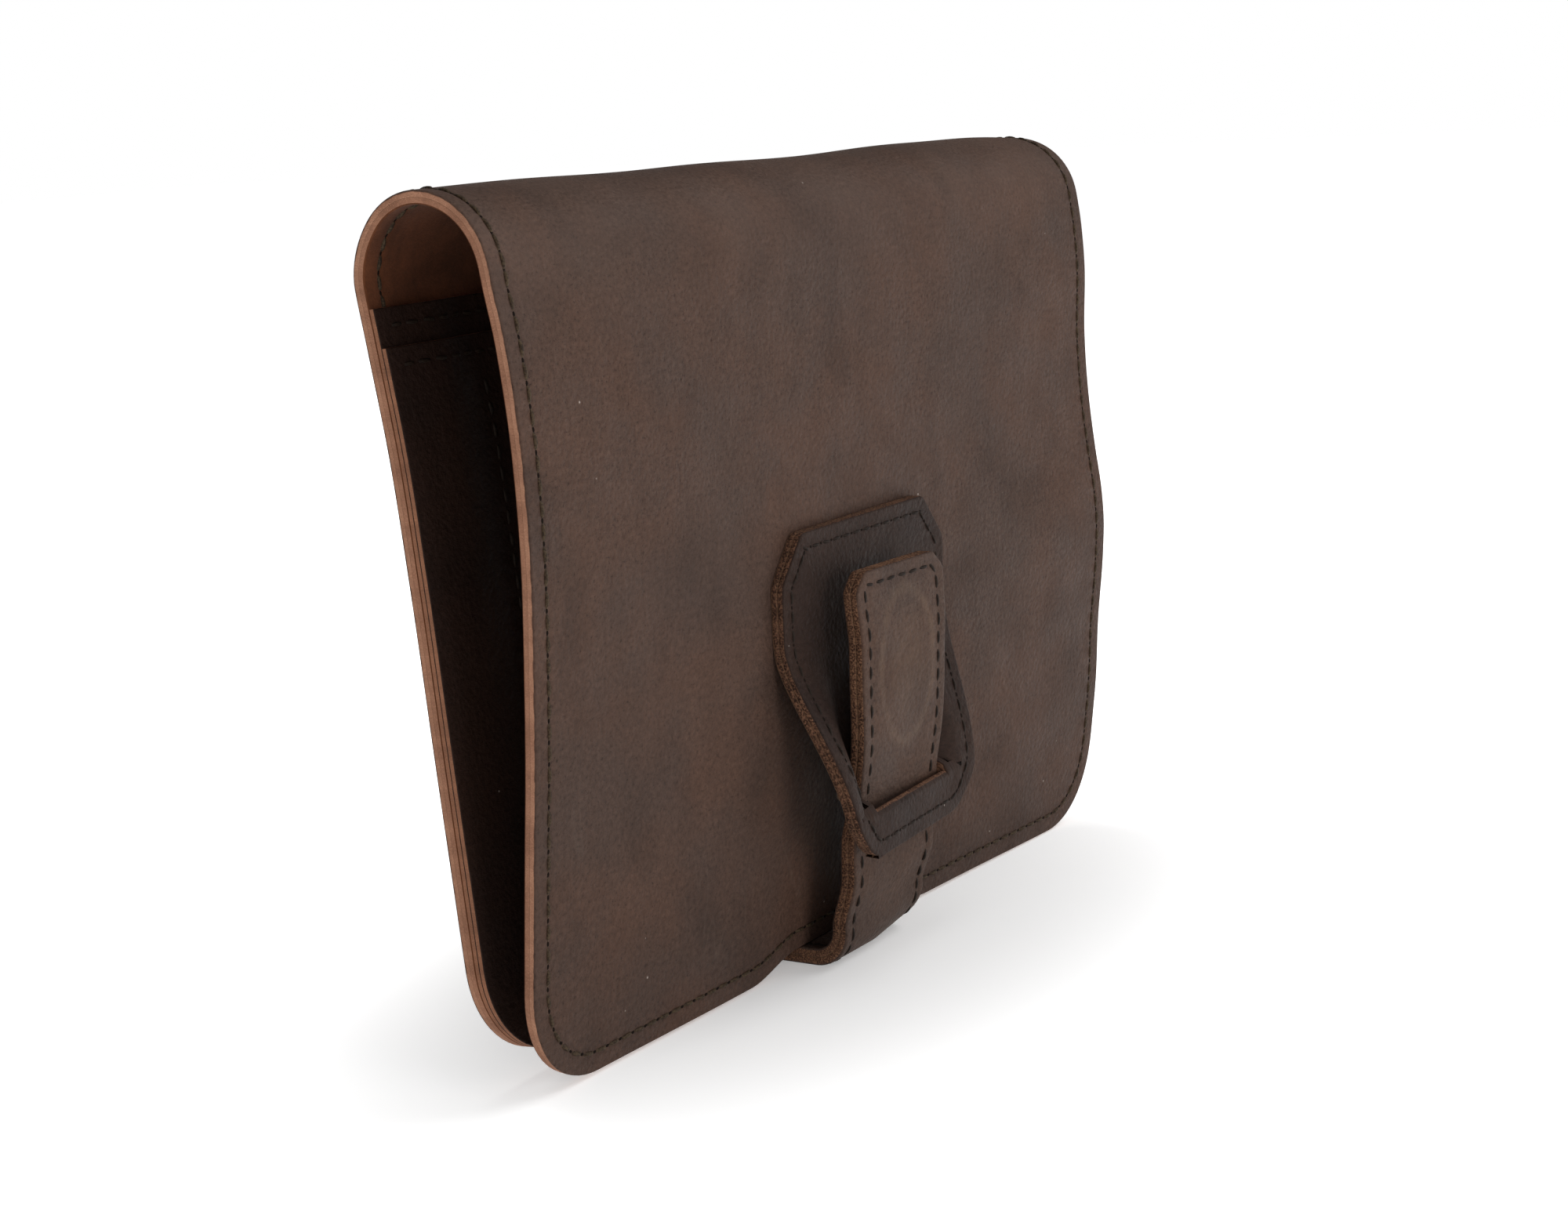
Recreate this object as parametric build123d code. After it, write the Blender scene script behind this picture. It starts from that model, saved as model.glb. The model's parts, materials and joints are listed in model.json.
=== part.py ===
"""Folded leather brush case, in millimetres.

One lined cover folds over the top into a back panel and a front flap. Brush pockets are sewn to the back
panel. A strap sewn to the back runs under the case, behind the bar of a keeper on the flap, and out of it.
Every side profile lies in the YZ plane: the back is at +Y, the flap at -Y, and +Z is up.
"""

import os
from math import cos, radians, sin

from build123d import *

os.makedirs("parts", exist_ok=True)

# Overall sizes
case_width = 272.0
case_height = 209.0
corner_radius = 25.0

# Cover: outer hide and lining, glued and hem-stitched together
hide_thickness = 1.6
lining_thickness = 1.6
fold_radius = 20.5
back_lean = 4.8
flap_flare = 2.0
flap_bow_radius = 1200.0
fold_segments = 3

# Pockets, flush with the edges of the back panel
pocket_thickness = 1.3
tall_pocket_drop = 27.0
short_pocket_step = 9.0
divider_count = 9

# Strap and keeper
closure_offset = -3.0
strap_width = 40.0
strap_layer = 2.3
strap_anchor_height = 50.0
strap_end_cut = 6.0
corner_slack = 1.5
front_bend_radius = 5.5
strap_standoff = 10.5
strap_sway_angle = 9.0
strap_sway_radius = 35.0
strap_sway = 6.3
tongue_length = 60.0
keeper_layer = 1.5
keeper_top_height = 110.0
keeper_bar_height = 15.0
keeper_bar_foot = 23.5
keeper_half_widths = (32.0, 41.0, 40.0, 33.0, 25.0)
keeper_shoulder_drops = (12.0, 32.0)
keeper_corner_rise = 10.0
keeper_ramp_angle = 32.0
keeper_ramp_radius = 10.0
slot_clearance = 0.8
strap_clearance = 0.4

# Seams: a flush run of thread in a groove
thread_width = 0.8
thread_depth = 0.5
hem_inset = 5.0
strap_inset = 3.5
rim_inset = 4.0
divider_end_gap = 6.0

strap_thickness = 2 * strap_layer
cover_thickness = hide_thickness + lining_thickness
panel_foot = strap_thickness + corner_slack * (1 - sin(radians(back_lean)))
fold_height = case_height - fold_radius
clear_of_outline = 60.0


class Leg:
    """One straight or evenly curved stretch of a side profile, with its heading in degrees from +Y.

    Places are (y, z). An offset is measured to the left of the way that the leg runs.
    """

    def __init__(self, start, heading, length, turn=0.0):
        self.start = start
        self.heading = heading
        self.length = length
        self.turn = turn

    def place(self, share, offset=0.0):
        heading = self.heading + self.turn * share
        along, across = direction(heading), direction(heading + 90)
        if self.turn:
            radius = self.length / radians(self.turn)
            first = direction(self.heading + 90)
            y = self.start[0] + radius * (first[0] - across[0])
            z = self.start[1] + radius * (first[1] - across[1])
        else:
            y = self.start[0] + along[0] * self.length * share
            z = self.start[1] + along[1] * self.length * share
        return (y + across[0] * offset, z + across[1] * offset)

    def part(self, low, high):
        share = high - low
        return Leg(self.place(low), self.heading + self.turn * low, self.length * share, self.turn * share)

    def edge(self, offset):
        ends = [(0, *self.place(share, offset)) for share in (0, 0.5, 1)]
        return ThreePointArc(*ends) if self.turn else Line(ends[0], ends[2])


def direction(heading):
    return (cos(radians(heading)), sin(radians(heading)))


def arc_leg(start, heading, radius, turn):
    return Leg(start, heading, radius * radians(abs(turn)), turn)


def after(legs):
    """The place and heading at the end of the last leg."""
    last = legs[-1]
    return last.place(1), last.heading + last.turn


def sheet(legs, near, far, width, middle=0.0):
    """A sheet of leather along the legs, between two offsets, as wide as given along X."""
    near_edges = [leg.edge(near) for leg in legs]
    far_edges = [leg.edge(far) for leg in legs]
    caps = [
        Line((0, *legs[end].place(share, near)), (0, *legs[end].place(share, far)))
        for end, share in ((0, 0), (-1, 1))
    ]
    section = Face(Wire(near_edges + far_edges + caps))
    return Pos(middle, 0, 0) * extrude(section, width / 2, both=True)


def upright(sketch):
    """An outline drawn in X and Z, as a block that runs right through the case along Y."""
    return extrude(Plane.XZ * sketch, 2 * case_width, both=True)


def ring(sketch, inset):
    """The run of a seam at an inset from an outline."""
    outer = offset(sketch, -(inset - thread_width / 2), kind=Kind.INTERSECTION)
    inner = offset(sketch, -(inset + thread_width / 2), kind=Kind.INTERSECTION)
    return upright(outer) - upright(inner)


def groove(leather, thread):
    return leather - thread


def one(shape):
    """A boolean's result as a plain solid, or a compound where a node has several."""
    solids = shape.solids()
    return solids[0] if len(solids) == 1 else Compound(list(solids))


# The cover's side profile, on the skin: up the back, over the fold and down the flap

fold_start = (
    fold_radius * cos(radians(back_lean)),
    fold_height - fold_radius * sin(radians(back_lean)),
)
back_length = (fold_start[1] - panel_foot) / cos(radians(back_lean))
back_foot = (fold_start[0] - back_length * sin(radians(back_lean)), panel_foot)
fold_turn = 180 + back_lean - flap_flare
overrun = 3.0

back_line = Leg(
    (back_foot[0] - overrun * sin(radians(back_lean)), panel_foot - overrun * cos(radians(back_lean))),
    90 - back_lean,
    back_length + overrun,
)
fold_arc = arc_leg(fold_start, 90 - back_lean, fold_radius, fold_turn)
flap_start, flap_heading = after([fold_arc])
flap_drop = flap_start[1] - panel_foot + overrun
flap_arc = Leg(flap_start, flap_heading, flap_drop, flap_drop / flap_bow_radius / radians(1))

zone = 1 / (fold_segments + 1)
cuts = [zone * (k + 0.5) for k in range(fold_segments + 1)]
cover_legs = {"back": [back_line, fold_arc.part(0, cuts[0])]}
for k in range(fold_segments):
    cover_legs[f"fold_{k + 1}"] = [fold_arc.part(cuts[k], cuts[k + 1])]
cover_legs["flap"] = [fold_arc.part(cuts[-1], 1), flap_arc]


def flap_share(height):
    """How far down the flap's leg its skin is at a height."""
    low, high = 0.0, 1.0
    for _ in range(50):
        middle = (low + high) / 2
        if flap_arc.place(middle)[1] > height:
            low = middle
        else:
            high = middle
    return low


# The panels' outline, seen from the front: square at the top, where the cover folds over

panel_middle = (panel_foot + case_height + clear_of_outline) / 2
panel_tall = case_height + clear_of_outline - panel_foot
panel_outline = Pos(0, panel_middle) * RectangleRounded(case_width, panel_tall, corner_radius)
panel_block = upright(panel_outline)
hem_ring = ring(panel_outline, hem_inset)

nodes = {}


def add(name, shape):
    nodes[name] = one(shape)


# Cover: outer hide, lining and hem thread, one of each for every body

for body, legs in cover_legs.items():
    hide = sheet(legs, 0, hide_thickness, case_width) & panel_block
    lining = sheet(legs, hide_thickness, cover_thickness, case_width) & panel_block
    thread = sheet(legs, 0, thread_depth, case_width) & hem_ring
    add(f"cover_{body}", groove(hide, thread))
    add(f"lining_{body}", lining)
    add(f"hem_thread_{body}", thread)

# Pockets: a tall panel on the lining and a short one on it, each with a thread along its rim

tall_top = case_height - tall_pocket_drop
short_top = tall_top - short_pocket_step


def lying_on_back(near, far, top):
    share = (top - back_line.start[1]) / (back_line.length * cos(radians(back_lean)))
    return sheet([back_line.part(0, share)], near, far, case_width) & panel_block


def rim_thread(near, top):
    height = top - rim_inset
    run = Pos(0, height) * Rectangle(case_width - 2 * rim_inset, thread_width)
    return lying_on_back(near, near + thread_depth, top) & upright(run)


def divider_thread(near, top, xs):
    low, high = panel_foot + hem_inset + divider_end_gap, top - rim_inset - divider_end_gap
    runs = [Pos(x, (low + high) / 2) * Rectangle(thread_width, high - low) for x in xs]
    return lying_on_back(near, near + thread_depth, top) & Compound([upright(run) for run in runs])


tall_face = cover_thickness + pocket_thickness
short_face = tall_face + pocket_thickness
divider_pitch = (case_width - 2 * hem_inset) / (divider_count + 1)
divider_xs = [divider_pitch * (k + 1) - (case_width / 2 - hem_inset) for k in range(divider_count)]

tall_rim = rim_thread(tall_face - thread_depth, tall_top)
short_rim = rim_thread(short_face - thread_depth, short_top)
dividers = divider_thread(short_face - thread_depth, short_top, divider_xs)
add("pocket_tall", groove(lying_on_back(cover_thickness, tall_face, tall_top), tall_rim))
add("pocket_short", groove(lying_on_back(tall_face, short_face, short_top), short_rim) - dividers)
add("rim_thread_tall", tall_rim)
add("rim_thread_short", short_rim)
add("divider_thread", dividers)

# Strap: down the back, under the case, up the front, through the keeper and on to its tongue

anchor_top = panel_foot + strap_anchor_height
anchor_length = strap_anchor_height / cos(radians(back_lean))
skin_at_anchor = back_foot[0] + strap_anchor_height * sin(radians(back_lean)) / cos(radians(back_lean))
strap_start = (
    skin_at_anchor + strap_thickness * cos(radians(back_lean)),
    anchor_top - strap_thickness * sin(radians(back_lean)),
)
bar_middle = keeper_bar_foot + keeper_bar_height / 2 + panel_foot
flap_skin_at_bar = flap_arc.place(flap_share(bar_middle))[0]
front_face = flap_skin_at_bar - strap_standoff - strap_thickness
bend_outer = front_bend_radius + strap_thickness
corner_outer = corner_slack + strap_thickness

anchor_run = Leg(strap_start, -90 - back_lean, anchor_length)
corner_bend = arc_leg(*after([anchor_run]), corner_outer, back_lean - 90)
under_length = after([corner_bend])[0][0] - (front_face + bend_outer)
under_run = Leg(*after([corner_bend]), under_length)
front_bend = arc_leg(*after([under_run]), bend_outer, -90)
keeper_slot_foot = panel_foot + keeper_bar_foot + keeper_bar_height
front_run = Leg(*after([front_bend]), keeper_slot_foot - after([front_bend])[0][1])
sway_out = arc_leg(*after([front_run]), strap_sway_radius, strap_sway_angle)
sway_in_radius = strap_sway_radius + strap_thickness
sway_shift = (strap_sway_radius + sway_in_radius) * (1 - cos(radians(strap_sway_angle)))
sway_line = Leg(*after([sway_out]), max(0.5, (strap_sway - sway_shift) / sin(radians(strap_sway_angle))))
sway_in = arc_leg(*after([sway_line]), sway_in_radius, -strap_sway_angle)
tongue_tip = keeper_slot_foot + tongue_length
tongue_run = Leg(*after([sway_in]), tongue_tip - after([sway_in])[0][1])

strap_legs = {
    "root": [anchor_run, corner_bend, under_run, front_bend.part(0, 0.25)],
    "bend": [front_bend.part(0.25, 0.75)],
    "tongue": [front_bend.part(0.75, 1), front_run, sway_out, sway_line, sway_in, tongue_run],
}


def strap_outline(low, high):
    """The strap seen from the front between two heights, with the corners of both ends cut off."""
    blank = Pos(closure_offset, (low + high) / 2) * Rectangle(strap_width, high - low)
    return chamfer(blank.vertices(), strap_end_cut)


below = -2 * clear_of_outline
tongue_outline = strap_outline(below, tongue_tip)
anchor_outline = strap_outline(below, anchor_top)
for body, legs in strap_legs.items():
    outline = anchor_outline if body == "root" else tongue_outline
    block = upright(outline)
    seam = ring(outline, strap_inset)
    outer = sheet(legs, 0, -strap_layer, strap_width, closure_offset) & block
    inner = sheet(legs, -strap_layer, -strap_thickness, strap_width, closure_offset) & block
    thread = sheet(legs, 0, -thread_depth, strap_width, closure_offset) & seam
    add(f"strap_outer_{body}", groove(outer, thread))
    add(f"strap_inner_{body}", inner)
    add(f"strap_thread_{body}", thread)

# Keeper: sewn flat to the flap above, and arched out over the strap as a bar below its slot

keeper_top = panel_foot + keeper_top_height
keeper_foot = panel_foot + keeper_bar_foot
keeper_thickness = 2 * keeper_layer
bar_inner = front_face - strap_clearance
straight_down = 270


def keeper_profile(ramp_top):
    """Down the flap's skin to the ramp's top, out to the bar and down it, on the keeper's inner face."""
    low, high = flap_share(keeper_top), flap_share(ramp_top)
    lying = flap_arc.part(low, high)
    place, heading = after([lying])
    ease_out = arc_leg(place, heading, keeper_ramp_radius, straight_down - keeper_ramp_angle - heading)
    drift = ease_out.place(1)[0] - bar_inner
    ease_in_shift = (keeper_ramp_radius + keeper_thickness) * (1 - cos(radians(keeper_ramp_angle)))
    ramp = Leg(*after([ease_out]), (drift - ease_in_shift) / sin(radians(keeper_ramp_angle)))
    ease_in = arc_leg(*after([ramp]), keeper_ramp_radius + keeper_thickness, keeper_ramp_angle)
    bar = Leg(*after([ease_in]), after([ease_in])[0][1] - keeper_foot)
    return [lying, ease_out, ramp, ease_in, bar]


def keeper_ramp_top():
    """The height at which the ramp has to leave the flap so that it ends at the top of the bar."""
    low, high = keeper_slot_foot, keeper_top
    for _ in range(40):
        middle = (low + high) / 2
        if after(keeper_profile(middle)[:-1])[0][1] > keeper_slot_foot:
            high = middle
        else:
            low = middle
    return high


ramp_top = keeper_ramp_top()
keeper_legs = keeper_profile(ramp_top)
shoulder_heights = [keeper_top - drop for drop in keeper_shoulder_drops]
keeper_heights = [keeper_top, *shoulder_heights, keeper_foot + keeper_corner_rise, keeper_foot]
right_side = list(zip(keeper_half_widths, keeper_heights, strict=True))
left_side = [(-half, height) for half, height in reversed(right_side)]
keeper_outline = Pos(closure_offset, 0) * make_face(Polyline(*right_side, *left_side, close=True))
slot_half = strap_width / 2 + slot_clearance
slot_outline = Pos(closure_offset, (keeper_slot_foot + ramp_top) / 2) * Rectangle(
    2 * slot_half, ramp_top - keeper_slot_foot
)
keeper_block = upright(keeper_outline) - upright(slot_outline)
keeper_seam = ring(keeper_outline, rim_inset)
keeper_width = 2 * max(keeper_half_widths) + 2

keeper_backing = sheet(keeper_legs, 0, -keeper_layer, keeper_width, closure_offset) & keeper_block
keeper_face = sheet(keeper_legs, -keeper_layer, -keeper_thickness, keeper_width, closure_offset) & keeper_block
keeper_thread = (
    sheet(keeper_legs, thread_depth - keeper_thickness, -keeper_thickness, keeper_width, closure_offset)
    & keeper_seam
)
add("keeper_face", groove(keeper_face, keeper_thread))
add("keeper_backing", keeper_backing)
add("keeper_thread", keeper_thread)

# The origin is under the middle of the case, on the surface that it stands on

box = Compound(list(nodes.values())).bounding_box()
to_origin = Pos(-(box.min.X + box.max.X) / 2, -(box.min.Y + box.max.Y) / 2, -box.min.Z)
for name, shape in nodes.items():
    export_step(to_origin * shape, f"parts/{name}.step")
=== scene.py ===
"""Looks of a folded leather brush case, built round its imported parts.

Metres. The back panel is at +Y, the flap at -Y, +X runs along the width and +Z is up.
Every sheet of leather is cut in its own flat measure: x across, and a run along its side profile.
"""

import json
import math

import bpy
import numpy as np
from mathutils import Matrix, Vector


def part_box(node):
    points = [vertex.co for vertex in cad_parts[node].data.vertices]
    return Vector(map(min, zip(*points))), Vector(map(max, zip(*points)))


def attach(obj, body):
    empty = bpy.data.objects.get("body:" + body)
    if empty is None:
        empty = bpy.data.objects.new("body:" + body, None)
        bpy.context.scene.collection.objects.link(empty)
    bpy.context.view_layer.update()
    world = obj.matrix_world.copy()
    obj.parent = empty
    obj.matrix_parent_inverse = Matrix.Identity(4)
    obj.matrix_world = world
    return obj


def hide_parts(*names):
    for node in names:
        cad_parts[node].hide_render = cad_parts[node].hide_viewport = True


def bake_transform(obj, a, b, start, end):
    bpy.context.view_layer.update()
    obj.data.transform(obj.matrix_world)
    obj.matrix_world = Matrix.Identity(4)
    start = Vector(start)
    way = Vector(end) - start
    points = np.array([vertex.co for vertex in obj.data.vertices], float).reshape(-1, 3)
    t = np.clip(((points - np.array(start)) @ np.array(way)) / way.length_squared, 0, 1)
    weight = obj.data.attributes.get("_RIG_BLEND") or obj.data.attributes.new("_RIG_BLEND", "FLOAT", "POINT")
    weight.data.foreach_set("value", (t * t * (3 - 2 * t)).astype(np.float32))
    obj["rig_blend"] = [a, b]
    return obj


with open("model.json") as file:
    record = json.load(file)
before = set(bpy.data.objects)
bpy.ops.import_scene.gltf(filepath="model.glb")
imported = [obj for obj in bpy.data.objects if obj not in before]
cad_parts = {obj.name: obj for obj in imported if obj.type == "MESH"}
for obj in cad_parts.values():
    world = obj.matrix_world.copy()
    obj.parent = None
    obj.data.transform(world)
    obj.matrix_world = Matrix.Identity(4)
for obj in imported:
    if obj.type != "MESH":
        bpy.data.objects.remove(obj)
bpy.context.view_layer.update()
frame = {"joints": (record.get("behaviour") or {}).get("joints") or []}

mm = 0.001
hinge = {joint["name"]: joint for joint in frame["joints"]}

# Leather weights
hide_thickness = 1.6 * mm
cover_thickness = 3.2 * mm
pocket_thickness = 1.3 * mm
strap_layer = 2.3 * mm
strap_thickness = 2 * strap_layer
keeper_layer = 1.9 * mm
keeper_thickness = 2 * keeper_layer

# Cutting
corner_radius = 25 * mm
strap_end_cut = 4.5 * mm
divider_count = 9
glued_edge_bulge = 0.03 * mm
wall_steps = 4
sharpest_smooth_turn = math.radians(38)

# Sewing
stitch_pitch = 5 * mm
stitch_length = 3.9 * mm
thread_width = 1.05 * mm
hem_inset = 5 * mm
strap_inset = 3.5 * mm
rim_inset = 4 * mm
divider_end_gap = 6 * mm


# ---------------------------------------------------------------- measures


def rise(value, start, end):
    """Goes smoothly from 0 at the start to 1 at the end, which may lie below the start."""
    share = np.clip((value - start) / (end - start), 0, 1)
    return share * share * (3 - 2 * share)


def way(angle):
    return np.array([math.cos(angle), math.sin(angle)])


def bell(x, middle, spread):
    return np.exp(-(((x - middle) / spread) ** 2))


def flow(stations, at):
    """A smooth line through stations of (place, amount), level beyond both ends."""
    place, amount = np.array(stations, float).T
    slope = np.gradient(amount, place)
    slope[0] = slope[-1] = 0
    at = np.clip(at, place[0], place[-1])
    k = np.clip(np.searchsorted(place, at, side="right") - 1, 0, len(place) - 2)
    span = place[k + 1] - place[k]
    t = (at - place[k]) / span
    return (
        amount[k] * (1 + 2 * t) * (1 - t) ** 2
        + slope[k] * span * t * (1 - t) ** 2
        + amount[k + 1] * t * t * (3 - 2 * t)
        - slope[k + 1] * span * t * t * (1 - t)
    )


class Profile:
    """A side profile in the YZ plane, followed along its outer face. The case lies on the given side of it."""

    def __init__(self, start, heading, side):
        self.side = side
        self.stations = [(0.0, start[0], start[1], heading, 0.0)]
        self.length = 0.0

    def run(self, length, turn=0.0):
        run, y, z, heading, _ = self.stations[-1]
        bend = turn / length
        self.stations[-1] = (run, y, z, heading, bend)
        self.length = run + length
        y, z, heading = (float(v[0]) for v in self.follow(np.array([self.length])))
        self.stations.append((self.length, y, z, heading, 0.0))

    def follow(self, s):
        table = np.array(self.stations)
        k = np.clip(np.searchsorted(table[:, 0], s, side="right") - 1, 0, len(table) - 1)
        run, y, z, heading, bend = np.moveaxis(table[k], -1, 0)
        step = s - run
        half = bend * step / 2
        chord = step * np.sinc(half / math.pi)
        return y + chord * np.cos(heading + half), z + chord * np.sin(heading + half), heading + 2 * half

    def place(self, x, s, depth):
        y, z, heading = self.follow(s)
        inward = self.side * depth
        return np.stack([x, y - inward * np.sin(heading), z + inward * np.cos(heading)], axis=-1)


def unit_rows(ways):
    return ways / (np.linalg.norm(ways, axis=1)[:, None] + 1e-12)


def circle_through(points):
    """Middle and radius of the circle through three places in YZ."""
    (ay, az), (by, bz), (cy, cz) = points
    system = np.array([[by - ay, bz - az], [cy - ay, cz - az]]) * 2
    right = np.array([by**2 - ay**2 + bz**2 - az**2, cy**2 - ay**2 + cz**2 - az**2])
    middle = np.linalg.solve(system, right)
    return middle, math.dist(middle, (ay, az))


# Cover: up the back, over the fold and down the flap. The four fold hinges lie on its skin.

fold_joints = ("flap_fold", "fold_follow_1", "fold_follow_2", "fold_follow_3")
fold_hinges = [hinge[name]["pos_m"][1:] for name in fold_joints]
fold_middle, fold_radius = circle_through([fold_hinges[k] for k in (0, 1, 3)])
hinge_angles = [math.atan2(z - fold_middle[1], y - fold_middle[0]) for y, z in fold_hinges]
fold_step = (hinge_angles[-1] - hinge_angles[0]) / 3
fold_start_angle = hinge_angles[0] - fold_step / 2
back_heading = math.pi / 2 + fold_start_angle
back_lean = -fold_start_angle
panel_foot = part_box("cover_back")[0].z
half_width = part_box("cover_back")[1].x
fold_start = fold_middle + fold_radius * way(fold_start_angle)
back_length = (fold_start[1] - panel_foot) / math.sin(back_heading)
back_foot = fold_start - back_length * way(back_heading)
flap_bow_radius = 1.2

cover = Profile(back_foot, back_heading, side=1)
cover.run(back_length)
fold_run = [back_length]
for _ in fold_hinges:
    cover.run(fold_radius * fold_step, fold_step)
    fold_run.append(cover.length)
_, flap_top, flap_heading = (float(v[0]) for v in cover.follow(np.array([cover.length])))
foot_heading = 2 * math.pi - math.acos(math.cos(flap_heading) + (flap_top - panel_foot) / flap_bow_radius)
cover.run(flap_bow_radius * (foot_heading - flap_heading), foot_heading - flap_heading)


def flap_run(height):
    """The run along the cover at which the flap's skin is at a height."""
    heading = 2 * math.pi - np.arccos(math.cos(flap_heading) + (flap_top - height) / flap_bow_radius)
    return fold_run[-1] + flap_bow_radius * (heading - flap_heading)


# How far the leather has taken its own shape, outwards from the even one: (height, millimetres)
flap_left_swell = (
    (20, -1.6), (45, -1.5), (62, -1.1), (78, -0.4), (98, 0.4), (134, 1.4), (160, 0.6), (175, -0.8), (192, -3),
)  # fmt: skip
flap_right_swell = (
    (20, 3.4), (45, 4.2), (60, 4.2), (83, 5.5), (92, 5.6), (102, 4.7), (113, 2.9), (130, 0.9), (149, 0.3), (167, 1.4),
    (192, 0.8),
)  # fmt: skip
back_swell = ((10, -0.9), (60, -1.3), (120, -1.9), (150, -1.6), (175, 0.1), (190, 1))
# Dips along the top of the fold: (place across, spread, depth), millimetres
fold_dips = ((-150, 40, 0.6), (-60, 35, 1.4), (20, 60, 2.6), (90, 30, 1.4), (150, 38, 4.6))
flap_sag, strap_rise = 5.2 * mm, 4.2 * mm
hide_ripple = 0.12


def swell(x, s):
    """Outward growth of the cover's skin."""
    _, z, _ = cover.follow(s)
    height = z / mm
    left = rise(x, -30 * mm, -130 * mm) * flow(flap_left_swell, height)
    right = rise(x, 20 * mm, 132 * mm) * flow(flap_right_swell, height)
    over_fold = rise(s, fold_run[0], fold_run[1]) * rise(s, fold_run[4] + 10 * mm, fold_run[2])
    dips = sum(amount * bell(x / mm, middle, spread) for middle, spread, amount in fold_dips)
    crossed = rise(s, fold_run[1], fold_run[4])
    even = flow(back_swell, height) * (1 - crossed) + (left + right) * crossed
    ripple = hide_ripple * np.sin(x * 61 + 1.3 * np.sin(s * 37)) * np.sin(s * 43 + 0.8)
    return (even - dips * over_fold + ripple) * mm


def cover_place(x, s, depth):
    """The flap's lower edge sags to the table on both sides of the strap."""
    sag = flap_sag - strap_rise * rise(np.abs(x + 3 * mm), 44 * mm, 23 * mm)
    s = s + sag * rise(s, cover.length - 70 * mm, cover.length)
    return cover.place(x, s, depth - swell(x, s))


# Strap: down the back from its anchor, under the case, up the front, out through the keeper to the tongue.

strap_box_low, strap_box_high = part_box("strap_outer_tongue")
closure_middle = (strap_box_low.x + strap_box_high.x) / 2
strap_half = (strap_box_high.x - strap_box_low.x) / 2
_, bend_y, bend_z = hinge["strap_open"]["pos_m"]
front_bend_radius = bend_z / (1 - math.cos(math.pi / 8))
front_bend_y = bend_y + front_bend_radius * math.sin(math.pi / 8)
corner_bend_radius = strap_thickness + 1.5 * mm
corner_middle_y = back_foot[0] + (corner_bend_radius - panel_foot) * math.tan(back_lean)
corner_middle_y -= (corner_bend_radius - strap_thickness) / math.cos(back_lean)
corner_middle = np.array([corner_middle_y, corner_bend_radius])
anchor_length = (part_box("strap_outer_root")[1].z - corner_bend_radius) / math.cos(back_lean) + 0.5 * mm
bar_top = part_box("keeper_face")[0].z + 15 * mm
sway = math.radians(9)
sway_radius = 35 * mm
sway_shift = 6.3 * mm
sway_drop = (2 * sway_radius + strap_thickness) * (1 - math.cos(sway))

strap_start = corner_middle + corner_bend_radius * way(-back_lean) + anchor_length * way(math.pi / 2 - back_lean)
strap = Profile(strap_start, -math.pi / 2 - back_lean, side=-1)
strap.run(anchor_length)
strap.run(corner_bend_radius * (math.pi / 2 - back_lean), back_lean - math.pi / 2)
strap.run(corner_middle_y - front_bend_y)
front_bend_run = [strap.length]
for _ in range(2):
    strap.run(front_bend_radius * math.pi / 4, -math.pi / 4)
    front_bend_run.append(strap.length)
strap.run(bar_top - front_bend_radius)
strap.run(sway_radius * sway, sway)
strap.run((sway_shift - sway_drop) / math.sin(sway))
strap.run((sway_radius + strap_thickness) * sway, -sway)
strap.run(strap_box_high.z - strap.stations[-1][2])

# Keeper: lies on the flap above, and stands out as a bar over the strap below its slot.

keeper_low, keeper_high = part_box("keeper_face")
keeper_top, keeper_foot = keeper_high.z, keeper_low.z + 4.5 * mm
keeper_middle = (keeper_low.x + keeper_high.x) / 2
bar_stand, bar_skew = 16.5 * mm, 2.2 * mm
stand_over_slot = 0.4
slot_half = strap_half + 0.8 * mm
slot_height = 4.5 * mm
slot_top = bar_top + slot_height
ramp_length = 46 * mm


def keeper_stand(x, z):
    """How far the keeper's inner face stands off the flap."""
    off = np.abs(x - keeper_middle)
    ramp = rise(z, bar_top + ramp_length, bar_top - 4 * mm)
    band = stand_over_slot + (1 - stand_over_slot) * rise(off, slot_half - 4 * mm, slot_half + 9 * mm)
    below_slot = rise(z, slot_top, bar_top)
    skew = bar_skew * np.clip((keeper_middle - x) / (30 * mm), -1, 1.2)
    return (bar_stand + skew) * ramp * np.maximum(band, below_slot)


def keeper_skin(x, z):
    return cover_place(x, flap_run(z), -keeper_stand(x, z))


def keeper_place(x, z, depth):
    """Depth is taken square to the keeper's own face, and is negative outwards."""
    step = 0.2 * mm
    across = keeper_skin(x + step, z) - keeper_skin(x - step, z)
    along = keeper_skin(x, z + step) - keeper_skin(x, z - step)
    inward = np.cross(along, across)
    inward /= np.linalg.norm(inward, axis=-1, keepdims=True)
    return keeper_skin(x, z) + inward * np.asarray(depth)[..., None]


# ---------------------------------------------------------------- outlines, in the flat


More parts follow.
